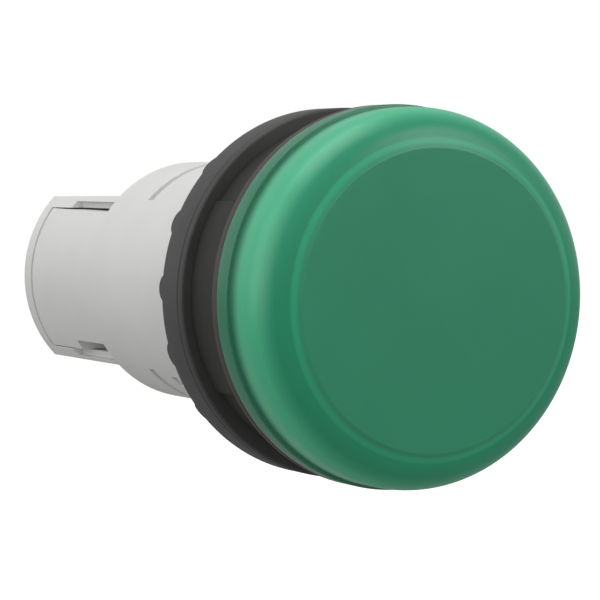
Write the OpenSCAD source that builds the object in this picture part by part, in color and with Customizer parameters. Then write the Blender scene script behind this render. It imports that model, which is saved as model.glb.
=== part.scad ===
// Compact panel pilot light for a round panel hole.
// The light faces -Y and the terminals face +Y. The origin is the centre of the
// panel hole, in the plane of the panel's front face, with +Z up.
//
// The pieces are drawn lying along a local Z axis that runs forward, out of the
// panel, with local Y up. on_panel() turns them into the part's frame.

/* [Barrel] */
// Diameter of the barrel that passes through the panel hole
barrel_d = 21.1; // [20.6:0.1:22]
// Depth of the whole light behind the panel's front face
depth = 42.2; // [41:0.2:50]
// Depth of the full round stretch, behind which top and bottom are flat
round_depth = 27.2; // [26.6:0.2:29]
// Height across the two flats at the rear
flats_h = 14.8; // [14.4:0.1:16]
// Wall of the barrel
barrel_wall = 1.5; // [1.2:0.1:1.7]
// Thickness of the barrel's walls above and below the terminals
floor_wall = 0.85; // [0.7:0.05:1]
// How far the barrel reaches into the collar, in front of the panel
barrel_front = 3; // [2:0.1:3.3]
// Thickness of the lip that holds the barrel in the collar
lip_t = 0.9; // [0.6:0.1:1.2]
// Gap between that lip and the bore of the collar round it
lip_gap = 0.85; // [0.7:0.05:1]

/* [Barrel grooves] */
// Depth behind the panel of the groove over the top and under the bottom
groove_at = 20.2; // [18.5:0.1:22]
// Width of the groove
groove_w = 1; // [0.6:0.1:1.4]
// Depth of the groove
groove_depth = 0.5; // [0.3:0.1:0.7]
// Angle that each groove covers
groove_angle = 93; // [60:1:110]
// Depth behind the panel of the short notches beside the lower groove
notch_at = 16.6; // [15:0.1:17]
// Angle that each notch covers
notch_angle = 7; // [4:1:12]

/* [Rear cover] */
// Thickness of the cover's end wall over the terminals
cover_t = 2; // [1.8:0.1:2.6]
// Thickness of the cover's two plates, which form the flats
plate_t = 1; // [0.8:0.05:1.2]
// Gap between the plates and the barrel under them
joint_gap = 0.25; // [0.15:0.05:0.35]
// Bevel on the cover's rear edge and along its joint line
edge_bevel = 0.3; // [0.15:0.05:0.4]
// Length of the pockets in the edges of the plates
pocket_l = 8.4; // [7:0.1:9]
// Height of those pockets, from the inner face of the plate
pocket_h = 0.6; // [0.4:0.05:0.7]
// Distance of the pocket walls from the middle
pocket_x = 7.3; // [7.2:0.05:7.5]
// Diameter of the screwdriver holes
access_d = 5.6; // [5.4:0.1:5.8]
// Width of the ribs that snap the plates onto the barrel
snap_w = 8; // [6:0.5:10]
// Height of the snap ribs
snap_h = 0.5; // [0.4:0.05:0.6]
// Length of the snap ribs along the barrel
snap_l = 1.2; // [0.8:0.1:1.6]
// Distance of the snap ribs behind the shoulder
snap_at = 7.5; // [7:0.1:9]

/* [Wire openings] */
// Width of the wire openings in the lower plate
wire_w = 4.2; // [4.1:0.1:4.4]
// Length of the wire openings along the barrel
wire_l = 5.9; // [5.6:0.1:6.4]
// Depth below the axis of the roof of the notch beside each wire opening
notch_roof = 5.5; // [5.3:0.1:5.8]

/* [Gasket and collar] */
// Outside diameter of the gasket and the ring nut, which clamp the panel
flange_d = 29.6; // [29:0.1:31]
// Thickness of the gasket between collar and panel
gasket_t = 0.8; // [0.5:0.1:1.4]
// Radial width of the collar outside the barrel
collar_w = 3.15; // [3:0.05:3.4]
// Wall of the collar round the neck of the lens
collar_wall = 1.2; // [1:0.05:1.4]
// Height of the two grip pads on the collar's sides
pad_h = 0.26; // [0.1:0.02:0.4]
// Angle that each grip pad covers
pad_angle = 65; // [50:1:80]
// Height of the collar's front face above the panel
collar_front = 6.2; // [6:0.1:7]

/* [Ring nut] */
// Thickness of the ring nut
nut_t = 2.7; // [2:0.1:4]
// Number of grip nubs on its rear face
nub_n = 17; // [12:1:20]
// Angle of the first nub, from the right-hand side seen from the front
nub_phase = 177.7; // [160:0.1:200]
// Width of a nub, which is half round
nub_w = 2.2; // [1.6:0.1:2.6]
// Width of the plain rim outside the nubs
nub_rim = 0.3; // [0.1:0.05:0.6]
// Radial length of a nub
nub_l = 2.3; // [1.5:0.1:2.4]
// Radial width of the hub round the bore
hub_w = 0.9; // [0.6:0.1:1.1]
// How far the hub stands out of the rear face
hub_h = 0.6; // [0.3:0.1:1]

/* [Lens] */
// Diameter of the lens at its base
lens_d = 29.8; // [29.4:0.1:31]
// Height of the lens face above the panel
lens_front = 14.5; // [14:0.1:16]
// Height of the base band
band_h = 1.7; // [1.2:0.1:2.2]
// Step in from the base band to the side of the lens
band_step = 0.25; // [0.1:0.05:0.4]
// Radius of the rounded front edge
edge_r = 3.1; // [2.6:0.1:3.6]
// Height of the low step that carries the flat face
face_step = 0.35; // [0.2:0.05:0.5]
// Width of the bevel round the flat face
face_bevel = 0.7; // [0.4:0.05:1]
// Diameter of the flat face at the foot of its bevel
face_d = 23.4; // [22.8:0.1:23.6]
// Wall of the lens
lens_wall = 1.7; // [1.4:0.1:2.2]
// Wall of the neck that screws into the collar
neck_wall = 1.2; // [1:0.1:1.4]
// Gap between the end of the neck and the barrel's lip
neck_gap = 0.3; // [0.1:0.05:0.6]
// Thickness of the seal under the lens
seal_t = 0.9; // [0.6:0.1:1.2]

/* [Diffuser] */
// Thickness of the opal diffuser disc
diffuser_t = 1; // [0.8:0.1:1.4]
// Height of the diffuser's rim
rim_h = 2; // [1.6:0.1:2.6]
// Wall of the diffuser's rim
rim_wall = 0.8; // [0.6:0.1:1.2]

/* [Lamp] */
// Diameter of the lamp's bayonet cap
cap_d = 9.2; // [9:0.05:9.25]
// Length of the lamp's bayonet cap
cap_l = 12; // [11:0.1:13]
// Wall of the bayonet cap
cap_wall = 0.3; // [0.2:0.05:0.4]
// Diameter of the two bayonet pins
pin_d = 1.8; // [1.6:0.05:2]
// Distance over the tips of the bayonet pins
pin_span = 11; // [10.8:0.05:11]
// Distance from the cap's rim to the pins
pin_down = 6; // [5.6:0.1:6.4]
// Diameter of the lamp's dome
dome_d = 8.8; // [8:0.1:9]
// Length of the lamp's dome
dome_l = 12.4; // [10:0.1:13]
// How far the dome reaches into the cap
dome_root = 3; // [2:0.1:4]
// Height of the lamp's insulator
insulator_h = 0.8; // [0.6:0.1:1]
// Height of the lamp's solder tip
tip_h = 0.6; // [0.5:0.05:0.8]

/* [Lamp socket] */
// How far the lamp can be pressed in
push = 1; // [0.8:0.05:1.1]
// Angle that the lamp turns to come free
bayonet_turn = 25; // [20:1:30]
// Wall of the socket sleeve
sleeve_wall = 0.4; // [0.3:0.05:0.5]
// Length of the socket sleeve
sleeve_l = 15; // [14.4:0.1:15.4]
// Wall of the moulded seat round the sleeve
seat_wall = 1; // [0.8:0.1:1.2]
// Thickness of the insulating disc behind the socket
disc_t = 1.2; // [1:0.1:1.5]
// Diameter of the spring contact's head
plunger_d = 4; // [3.8:0.1:4.4]
// Thickness of the spring contact's head
plunger_t = 0.8; // [0.6:0.1:1]
// Diameter of the spring contact's stem
stem_d = 1.6; // [1.4:0.1:1.8]
// Length of the contact spring
spring_l = 2.6; // [2.5:0.1:3]
// Wire diameter of the contact spring
wire_d = 0.3; // [0.25:0.05:0.35]
// Turns of the contact spring
coils = 4; // [3:1:4]

/* [Terminals] */
// Distance of each terminal from the middle
terminal_x = 4.5; // [4.4:0.05:4.6]
// Width of the terminal bars
bar_w = 6; // [5.8:0.1:6.2]
// Height of the terminal bars
bar_h = 6.4; // [6:0.1:6.4]
// Thickness of the terminal bars
bar_t = 1; // [0.8:0.1:1.2]
// Thickness of the saddle plates
saddle_t = 0.9; // [0.7:0.1:1.1]
// Diameter of the terminal screws
screw_d = 3; // [2.6:0.1:3]
// Diameter of the screw heads
head_d = 5; // [4.8:0.1:5.2]
// Height of the screw heads
head_h = 1.9; // [1.6:0.1:2.2]
// Width of the slot in a screw head
driver_w = 0.8; // [0.6:0.1:1]
// How far a terminal opens
opening = 2.5; // [2:0.1:2.6]
// Thickness of the contact strips
strip_t = 0.4; // [0.3:0.05:0.5]
// Width of the contact strips
strip_w = 1.6; // [1.2:0.1:1.6]

/* [Fits] */
// Radial clearance between the ring nut and the barrel
nut_fit = 0.08; // [0.05:0.01:0.1]
// Radial clearance round turning and sliding metal pieces
metal_fit = 0.05; // [0.03:0.01:0.08]
// Gap between moulded pieces that fit together
mould_fit = 0.1; // [0.05:0.01:0.15]

/* [Hidden] */
$fn = 96;

// How far a cut runs clear of the face that it opens
cut = 1;

// Barrel, with depths counted back from the panel
barrel_r = barrel_d / 2;
bay_r = barrel_r - barrel_wall;
flat_y = flats_h / 2;
lip_z = barrel_front + lip_t;
cover_z = cover_t - depth;
plate_y = flat_y - plate_t;
rear_flat_y = plate_y - joint_gap;
wire_z = -round_depth - wire_l;

// Terminals, from the face that a wire is clamped on
clamp_z = -round_depth - wire_l / 2;
bar_front_z = clamp_z + bar_t;
screw_r = screw_d / 2;
rest_gap = 0.05;
saddle_z = clamp_z - rest_gap - saddle_t;
head_z = saddle_z - metal_fit - head_h;
thread_spare = 0.4;
screw_end_z = bar_front_z + opening + thread_spare;
saddle_trim = 0.2;

// Terminal chambers, and the partition in front of them
web_t = 1.2;
floor_gap = 0.25;
partition_t = 1.4;
stem_floor = 0.1;
side_wall = 0.85;
chamber_x = bay_r - side_wall;
chamber_y = rear_flat_y - floor_wall;
seat_ledge = 0.4;
chamber_z = screw_end_z + floor_gap;
disc_z = chamber_z + partition_t;

// Socket and lamp, stacked forward from the partition
disc_front_z = disc_z + disc_t;
spring_z = disc_front_z + strip_t;
plunger_z = spring_z + spring_l;
tip_z = plunger_z + plunger_t;
insulator_z = tip_z + tip_h;
cap_z = insulator_z + insulator_h;
cap_front_z = cap_z + cap_l;
pin_z = cap_front_z - pin_down;
dome_front_z = cap_front_z + dome_l;
cap_r = cap_d / 2;
cap_rim_t = 0.5;
cap_rim_w = 0.08;
insulator_seat_h = 1;
tip_r = 1.6;
dome_r = dome_d / 2;
sleeve_gap = 0.15;
sleeve_in_r = cap_r + sleeve_gap;
sleeve_out_r = sleeve_in_r + sleeve_wall;
sleeve_z = spring_z + strip_t;
sleeve_front_z = sleeve_z + sleeve_l;
slot_gap = 0.15;
slot_w = pin_d + 2 * slot_gap;
slot_z = pin_z - slot_w / 2 - push;
seat_in_r = sleeve_out_r + mould_fit;
seat_wide_r = pin_span / 2 + slot_gap;
seat_out_r = seat_wide_r + seat_wall;
stem_r = stem_d / 2;
stem_spare = 0.2;

// Contact strips, beside the screws
strip_gap = 0.3;
strip_y = screw_r + strip_gap;
strip_left_x = 4;
strip_right_x = 3.4;

// Front pieces, with heights counted forward from the panel
flange_r = flange_d / 2;
collar_r = barrel_r + collar_w;
collar_bore_r = collar_r - collar_wall;
lip_r = collar_bore_r - lip_gap;
neck_r = collar_bore_r - mould_fit;
neck_inner_r = neck_r - neck_wall;
neck_z = lip_z + neck_gap;
lens_z = collar_front + seal_t;
lens_r = lens_d / 2;
side_r = lens_r - band_step;
round_x = side_r - edge_r;
shoulder_z = lens_front - face_step;
edge_z = shoulder_z - edge_r;
face_r = face_d / 2;
ceiling_z = shoulder_z - lens_wall;
diffuser_r = round_x - mould_fit;

// Ring nut
nut_bore_r = barrel_r + nut_fit;
nub_out_r = flange_r - nub_rim;
nut_bevel = 0.25;

module on_panel() {
    rotate([90, 0, 0]) children();
}

// ---- shared shapes ----

module disc(r, z0, z1) {
    translate([0, 0, z0]) cylinder(r = r, h = z1 - z0);
}

module ring(outer_r, inner_r, z0, z1) {
    difference() {
        disc(outer_r, z0, z1);
        disc(inner_r, z0 - cut, z1 + cut);
    }
}

// A box given by its lowest and highest corners
module block(low, high) {
    translate(low) cube(high - low);
}

// A ring of rectangular section that covers part of the circle
module arc_ring(inner_r, outer_r, z0, z1, middle, sweep) {
    rotate([0, 0, middle - sweep / 2]) rotate_extrude(angle = sweep)
        translate([inner_r, z0]) square([outer_r - inner_r, z1 - z0]);
}

// A wedge from the axis out to the given reach, as a flat outline
module wedge(reach, middle, sweep) {
    far = reach / cos(sweep / 2);
    polygon([
        [0, 0],
        [far * cos(middle - sweep / 2), far * sin(middle - sweep / 2)],
        [far * cos(middle + sweep / 2), far * sin(middle + sweep / 2)]
    ]);
}

// The same shape on the right, or mirrored to the left
module on_side(side) {
    if (side < 0) mirror([1, 0, 0]) children();
    else children();
}

// A circle with two flats, and the slab made of it
module d_outline(r, flat) {
    intersection() {
        circle(r = r);
        square([2 * r + cut, 2 * flat], center = true);
    }
}

module d_slab(z0, z1, flat, inset = 0) {
    translate([0, 0, z0]) linear_extrude(z1 - z0) d_outline(barrel_r - inset, flat - inset);
}

// ---- barrel ----

module barrel_shell() {
    disc(barrel_r, -round_depth, barrel_front);
    disc(lip_r, barrel_front, lip_z);
    d_slab(cover_z + edge_bevel, cut - round_depth, rear_flat_y);
    d_slab(cover_z, cut - round_depth, rear_flat_y, edge_bevel);
}

module barrel_grooves() {
    floor_r = barrel_r - groove_depth;
    rim_r = barrel_r + cut;
    for (middle = [90, 270])
        arc_ring(floor_r, rim_r, -groove_at - groove_w / 2, -groove_at + groove_w / 2,
            middle, groove_angle);
    for (side = [-1, 1])
        arc_ring(floor_r, rim_r, -notch_at - groove_w / 2, -notch_at + groove_w / 2,
            270 + side * (groove_angle / 2 - notch_angle), notch_angle);
}

// Way in for a wire from below, with a notch out to the side of the barrel
module wire_way() {
    low_y = -rear_flat_y - cut;
    block([terminal_x - wire_w / 2, low_y, wire_z], [barrel_r + cut, -notch_roof, -round_depth]);
    block([terminal_x - wire_w / 2, low_y, wire_z],
        [terminal_x + wire_w / 2, -bar_h / 2 - mould_fit, -round_depth]);
}

// Grooves that the ribs of the rear cover snap into
module snap_groove(fit = 0) {
    snap_z = -round_depth - snap_at;
    for (level = [0, 1]) mirror([0, level, 0])
        block([-snap_w / 2 - fit, plate_y - snap_h - fit, snap_z - snap_l - fit],
            [snap_w / 2 + fit, plate_y + cut / 2, snap_z + fit]);
}

module terminal_chamber() {
    block([web_t / 2, -chamber_y, cover_z - cut], [chamber_x, chamber_y, bar_front_z]);
    block([terminal_x - bar_w / 2 + seat_ledge, -bar_h / 2 + seat_ledge, bar_front_z - cut],
        [terminal_x + bar_w / 2 - seat_ledge, bar_h / 2 - seat_ledge, chamber_z]);
}

module lamp_bay() {
    ring(bay_r, seat_out_r, disc_z, sleeve_front_z);
    disc(bay_r, sleeve_front_z, lip_z + cut);
    disc(seat_in_r, disc_z, sleeve_front_z + cut);
    disc(seat_wide_r, slot_z, sleeve_front_z + cut);
    disc(stem_r + metal_fit, chamber_z + stem_floor, disc_z + cut);
}

// Room for a contact strip, given by its inner face
module strip_way(x, front_z) {
    block([x - mould_fit, strip_y - mould_fit, bar_front_z - cut],
        [x + strip_t + mould_fit, strip_y + strip_w + mould_fit, front_z]);
}

module barrel() {
    color("gainsboro") difference() {
        barrel_shell();
        barrel_grooves();
        lamp_bay();
        snap_groove(mould_fit);
        for (side = [-1, 1]) on_side(side) {
            wire_way();
            intersection() {
                terminal_chamber();
                disc(bay_r, cover_z - cut, chamber_z);
            }
        }
        on_side(-1) strip_way(strip_left_x, sleeve_z);
        strip_way(strip_right_x, spring_z);
    }
}

// Pocket in the edge of one plate, with a sloping rear end
module edge_pocket() {
    slope_l = 0.8;
    front_z = cut - round_depth;
    end_z = -round_depth - pocket_l;
    rim_x = barrel_r + cut;
    translate([0, plate_y + pocket_h, 0]) rotate([90, 0, 0]) linear_extrude(pocket_h + cut) polygon([
        [pocket_x, front_z], [rim_x, front_z], [rim_x, end_z - slope_l], [pocket_x, end_z]
    ]);
}

module cover_plates() {
    difference() {
        d_slab(cover_z - cut / 2, -round_depth - mould_fit, flat_y);
        cube([2 * barrel_d, 2 * plate_y, 2 * depth], center = true);
        for (side = [-1, 1]) on_side(side) {
            for (level = [0, 1]) mirror([0, level, 0]) edge_pocket();
            block([terminal_x - wire_w / 2, -flat_y - cut, wire_z],
                [terminal_x + wire_w / 2, 0, -round_depth]);
        }
    }
}

module rear_cover() {
    color("gainsboro") difference() {
        union() {
            d_slab(-depth, cover_z, flat_y, edge_bevel);
            d_slab(-depth + edge_bevel, cover_z - edge_bevel / 2, flat_y);
            cover_plates();
            snap_groove();
        }
        for (x = [-terminal_x, terminal_x])
            translate([x, 0, -depth - cut]) cylinder(d = access_d, h = cover_t + 2 * cut);
    }
}

// ---- gasket, collar and ring nut ----

module panel_gasket() {
    color("black") ring(flange_r, barrel_r + mould_fit, 0, gasket_t);
}

module collar_outline() {
    circle(r = collar_r);
    intersection() {
        circle(r = collar_r + pad_h);
        for (middle = [0, 180]) wedge(2 * collar_r, middle, pad_angle);
    }
}

module collar() {
    color("dimgray") difference() {
        translate([0, 0, gasket_t]) linear_extrude(collar_front - gasket_t) collar_outline();
        disc(barrel_r + mould_fit, gasket_t - cut, barrel_front + cut);
        disc(collar_bore_r, barrel_front, collar_front + cut);
    }
}

module lens_seal() {
    color("rosybrown") ring(lens_r, neck_r + mould_fit, collar_front, lens_z);
}

module nut_profile() {
    polygon([
        [nut_bore_r, 0], [flange_r, 0], [flange_r, nut_bevel - nut_t], [flange_r - nut_bevel, -nut_t],
        [nut_bore_r + hub_w, -nut_t], [nut_bore_r + hub_w, -nut_t - hub_h],
        [nut_bore_r, -nut_t - hub_h]
    ]);
}

module ring_nut() {
    color("dimgray") {
        rotate_extrude() nut_profile();
        intersection() {
            for (i = [0:nub_n - 1])
                rotate([0, 0, nub_phase + i * 360 / nub_n])
                    translate([nub_out_r - nub_l, 0, -nut_t])
                        rotate([0, 90, 0]) cylinder(d = nub_w, h = nub_l + cut);
            disc(nub_out_r, -nut_t - nub_w, -nut_t / 2);
        }
    }
}

// ---- lens and diffuser ----

module lens_outline() {
    translate([neck_inner_r, neck_z]) square([neck_wall, lens_z - neck_z + cut]);
    translate([0, lens_z]) square([lens_r, band_h]);
    translate([0, lens_z]) square([side_r, edge_z - lens_z]);
    translate([0, lens_z]) square([round_x, shoulder_z - lens_z]);
    translate([round_x, edge_z]) circle(r = edge_r);
    polygon([
        [0, edge_z], [face_r, edge_z], [face_r, shoulder_z],
        [face_r - face_bevel, lens_front], [0, lens_front]
    ]);
}

module lens_hollow() {
    inner_round = edge_r - lens_wall;
    translate([0, neck_z - cut]) square([neck_inner_r, edge_z - neck_z + cut]);
    translate([0, lens_z + lens_wall]) square([side_r - lens_wall, edge_z - lens_z - lens_wall]);
    translate([0, edge_z - cut]) square([round_x, ceiling_z - edge_z + cut]);
    translate([round_x, edge_z]) circle(r = inner_round);
}

module lens() {
    color("seagreen") rotate_extrude() difference() {
        lens_outline();
        lens_hollow();
    }
}

module diffuser() {
    color("white") {
        disc(diffuser_r, ceiling_z - diffuser_t, ceiling_z);
        ring(diffuser_r, diffuser_r - rim_wall, ceiling_z - rim_h, ceiling_z - diffuser_t / 2);
    }
}

// ---- lamp ----

module lamp_cap() {
    color("silver") {
        ring(cap_r, cap_r - cap_wall, cap_z, cap_front_z);
        ring(cap_r + cap_rim_w, cap_r - cap_wall, cap_front_z - cap_rim_t, cap_front_z);
        for (side = [-1, 1])
            translate([0, 0, pin_z]) rotate([-90 * side, 0, 0])
                translate([0, 0, cap_r - cap_wall]) cylinder(d = pin_d, h = pin_span / 2 - cap_r + cap_wall);
    }
}

module lamp_insulator() {
    color("black") translate([0, 0, insulator_z]) {
        cylinder(r1 = cap_r / 2, r2 = cap_r - cap_wall, h = insulator_h);
        translate([0, 0, insulator_h]) cylinder(r = cap_r - cap_wall, h = insulator_seat_h);
    }
}

module lamp_tip() {
    color("silver") translate([0, 0, insulator_z]) rotate_extrude() intersection() {
        translate([0, -tip_h]) square([tip_r, tip_h]);
        translate([0, tip_r - tip_h]) circle(r = tip_r);
    }
}

module lamp_dome() {
    color("ivory") rotate_extrude() union() {
        translate([0, cap_front_z]) square([dome_r, dome_l - dome_r]);
        translate([0, cap_front_z - dome_root]) square([cap_r - cap_wall, dome_root]);
        intersection() {
            translate([0, dome_front_z - dome_r]) circle(r = dome_r);
            translate([0, dome_front_z - dome_d]) square([dome_r, dome_d]);
        }
    }
}

// ---- lamp socket ----

// Entry leg and turning leg of one bayonet slot, with the pin at rest on top
module bayonet_slot() {
    half_slot = asin(slot_w / 2 / cap_r);
    translate([0, 0, slot_z]) linear_extrude(slot_w + push)
        wedge(pin_span, 90 + bayonet_turn / 2, bayonet_turn + 2 * half_slot);
    rotate([0, 0, bayonet_turn])
        block([-slot_w / 2, 0, pin_z], [slot_w / 2, pin_span, sleeve_front_z + cut]);
}

module socket_sleeve() {
    color("goldenrod") difference() {
        ring(sleeve_out_r, sleeve_in_r, sleeve_z, sleeve_front_z);
        for (turn = [0, 180]) rotate([0, 0, turn]) bayonet_slot();
    }
}

module socket_disc() {
    color("saddlebrown") difference() {
        ring(seat_in_r - mould_fit, stem_r + metal_fit, disc_z, disc_front_z);
        on_side(-1) strip_way(strip_left_x, spring_z);
        strip_way(strip_right_x, spring_z);
    }
}

module contact_plunger() {
    color("goldenrod") {
        disc(plunger_d / 2, plunger_z, tip_z);
        disc(stem_r, disc_z - stem_spare, plunger_z + plunger_t / 2);
    }
}

// The spring's wire as a tube along a helix
module contact_spring() {
    sides = 6;
    steps = 16;
    rings = coils * steps;
    wire_r = wire_d / 2;
    coil_r = plunger_d / 2 - wire_d;
    rise = (spring_l - wire_d) / rings;
    points = [
        for (i = [0:rings], k = [0:sides - 1])
            let (a = i * 360 / steps, b = k * 360 / sides, r = coil_r + wire_r * cos(b))
                [r * cos(a), r * sin(a), spring_z + wire_r + i * rise + wire_r * sin(b)]
    ];
    skin = [
        for (i = [0:rings - 1], k = [0:sides - 1])
            let (p = i * sides + k, q = i * sides + (k + 1) % sides)
                [p, p + sides, q + sides, q]
    ];
    start = [[for (k = [0:sides - 1]) k]];
    end = [[for (k = [sides - 1:-1:0]) rings * sides + k]];
    color("silver") polyhedron(points, concat(skin, start, end));
}

// ---- terminals ----

module terminal_bar() {
    difference() {
        block([terminal_x - bar_w / 2, -bar_h / 2, clamp_z], [terminal_x + bar_w / 2, bar_h / 2, bar_front_z]);
        translate([terminal_x, 0, clamp_z - cut]) cylinder(r = screw_r + metal_fit, h = bar_t + 2 * cut);
    }
}

module contact_strip(x, front_z) {
    block([x, strip_y, clamp_z], [x + strip_t, strip_y + strip_w, front_z]);
}

// The left terminal's strip ends against the socket sleeve
module terminal_left() {
    color("goldenrod") on_side(-1) {
        terminal_bar();
        contact_strip(strip_left_x, sleeve_z);
    }
}

// The right terminal's strip ends in an eyelet under the contact spring
module terminal_right() {
    middle_x = strip_right_x + strip_t / 2;
    middle_y = strip_y + strip_w / 2;
    color("goldenrod") {
        terminal_bar();
        contact_strip(strip_right_x, spring_z);
        translate([0, 0, disc_front_z]) linear_extrude(strip_t) difference() {
            union() {
                circle(d = plunger_d);
                rotate(atan2(middle_y, middle_x)) translate([0, -strip_w / 2])
                    square([norm([middle_x, middle_y]), strip_w]);
            }
            circle(r = stem_r + mould_fit);
        }
    }
}

module saddle() {
    color("lightgray") difference() {
        block([terminal_x - bar_w / 2 + saddle_trim, -bar_h / 2 + saddle_trim, saddle_z],
            [terminal_x + bar_w / 2 - saddle_trim, bar_h / 2 - saddle_trim, saddle_z + saddle_t]);
        translate([terminal_x, 0, saddle_z - cut])
            cylinder(r = screw_r + metal_fit, h = saddle_t + 2 * cut);
    }
}

module saddle_left() {
    on_side(-1) saddle();
}

module saddle_right() {
    saddle();
}

// Slotted cheese-head screw
module terminal_screw() {
    slot_depth = head_h / 2;
    color("lightgray") translate([terminal_x, 0, 0]) difference() {
        union() {
            disc(head_d / 2, head_z, head_z + head_h);
            disc(screw_r, head_z + head_h / 2, screw_end_z);
        }
        block([-head_d, -driver_w / 2, head_z - cut], [head_d, driver_w / 2, head_z + slot_depth]);
    }
}

module terminal_screw_left() {
    on_side(-1) terminal_screw();
}

module terminal_screw_right() {
    terminal_screw();
}

on_panel() lens();
on_panel() lens_seal();
on_panel() diffuser();
on_panel() collar();
on_panel() panel_gasket();
on_panel() ring_nut();
on_panel() barrel();
on_panel() rear_cover();
on_panel() lamp_cap();
on_panel() lamp_insulator();
on_panel() lamp_tip();
on_panel() lamp_dome();
on_panel() socket_sleeve();
on_panel() socket_disc();
on_panel() contact_plunger();
on_panel() contact_spring();
on_panel() terminal_left();
on_panel() terminal_right();
on_panel() saddle_left();
on_panel() saddle_right();
on_panel() terminal_screw_left();
on_panel() terminal_screw_right();
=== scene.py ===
"""Looks for a compact panel pilot light: a screw-on lens, a collar and ring nut that clamp the panel,
a barrel with a snap-on terminal cover, and the lamp, socket and terminals inside it."""

import math

import bmesh
import bpy
from bpy.props import FloatProperty, FloatVectorProperty, IntProperty, PointerProperty
from mathutils import Matrix, Vector


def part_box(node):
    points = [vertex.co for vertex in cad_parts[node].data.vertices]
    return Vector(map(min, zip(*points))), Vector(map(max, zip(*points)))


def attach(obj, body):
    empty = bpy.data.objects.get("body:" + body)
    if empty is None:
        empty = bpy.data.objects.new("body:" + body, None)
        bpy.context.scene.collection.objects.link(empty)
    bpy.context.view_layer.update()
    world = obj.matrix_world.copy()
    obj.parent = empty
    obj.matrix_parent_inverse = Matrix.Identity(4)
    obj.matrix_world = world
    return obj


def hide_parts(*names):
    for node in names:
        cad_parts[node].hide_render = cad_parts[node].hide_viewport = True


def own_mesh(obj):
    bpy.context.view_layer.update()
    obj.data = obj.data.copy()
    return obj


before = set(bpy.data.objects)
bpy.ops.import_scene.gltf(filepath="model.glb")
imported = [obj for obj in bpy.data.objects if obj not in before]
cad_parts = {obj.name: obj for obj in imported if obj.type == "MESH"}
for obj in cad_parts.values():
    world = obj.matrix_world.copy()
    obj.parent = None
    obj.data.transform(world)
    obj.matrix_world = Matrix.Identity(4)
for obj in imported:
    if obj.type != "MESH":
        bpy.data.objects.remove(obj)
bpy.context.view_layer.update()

bl_info = {
    "name": "Panel Pilot Light",
    "version": (1, 0, 0),
    "blender": (4, 5, 0),
    "location": "View3D > Sidebar > Pilot Light",
    "description": "Builds the visible pieces and finishes of a panel pilot light",
    "category": "Add Mesh",
}

MM = 0.001
LENS_LOW, LENS_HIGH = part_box("lens")
SEAL_LOW, SEAL_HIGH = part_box("lens_seal")
GASKET_LOW, GASKET_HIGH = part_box("panel_gasket")
NUT_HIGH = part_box("ring_nut")[1]
SPRING_LOW, SPRING_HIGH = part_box("contact_spring")
COVER_LOW, COVER_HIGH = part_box("rear_cover")
BARREL_RADIUS = COVER_HIGH[0]
WELD = 0.001 * MM
NEAR = 0.01 * MM
CORNER_STEPS = 4
TURN_SEGMENTS = 192

# ---- small helpers ----


def hex_colour(code):
    """Turns an sRGB hex colour into linear RGB."""
    channels = [int(code[i:i + 2], 16) / 255 for i in (1, 3, 5)]
    return [c / 12.92 if c <= 0.04045 else ((c + 0.055) / 1.055) ** 2.4 for c in channels]


def add_node(tree, kind, inputs=None, **settings):
    """Adds a node, sets its properties, and sets or links its inputs by name or number."""
    node = tree.nodes.new(kind)
    for name, value in settings.items():
        setattr(node, name, value)
    for key, value in (inputs or {}).items():
        if isinstance(value, bpy.types.NodeSocket):
            tree.links.new(value, node.inputs[key])
        else:
            node.inputs[key].default_value = value
    return node


def length(name, description, default):
    """A length property in metres."""
    return FloatProperty(
        name=name, description=description, default=default, min=0, unit="LENGTH", precision=5,
    )


def colour(name, description, code):
    """A colour property with an sRGB hex default."""
    return FloatVectorProperty(
        name=name, description=description, subtype="COLOR", min=0, max=1, default=hex_colour(code),
    )


# ---- sizes and colours that a user would change ----


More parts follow.
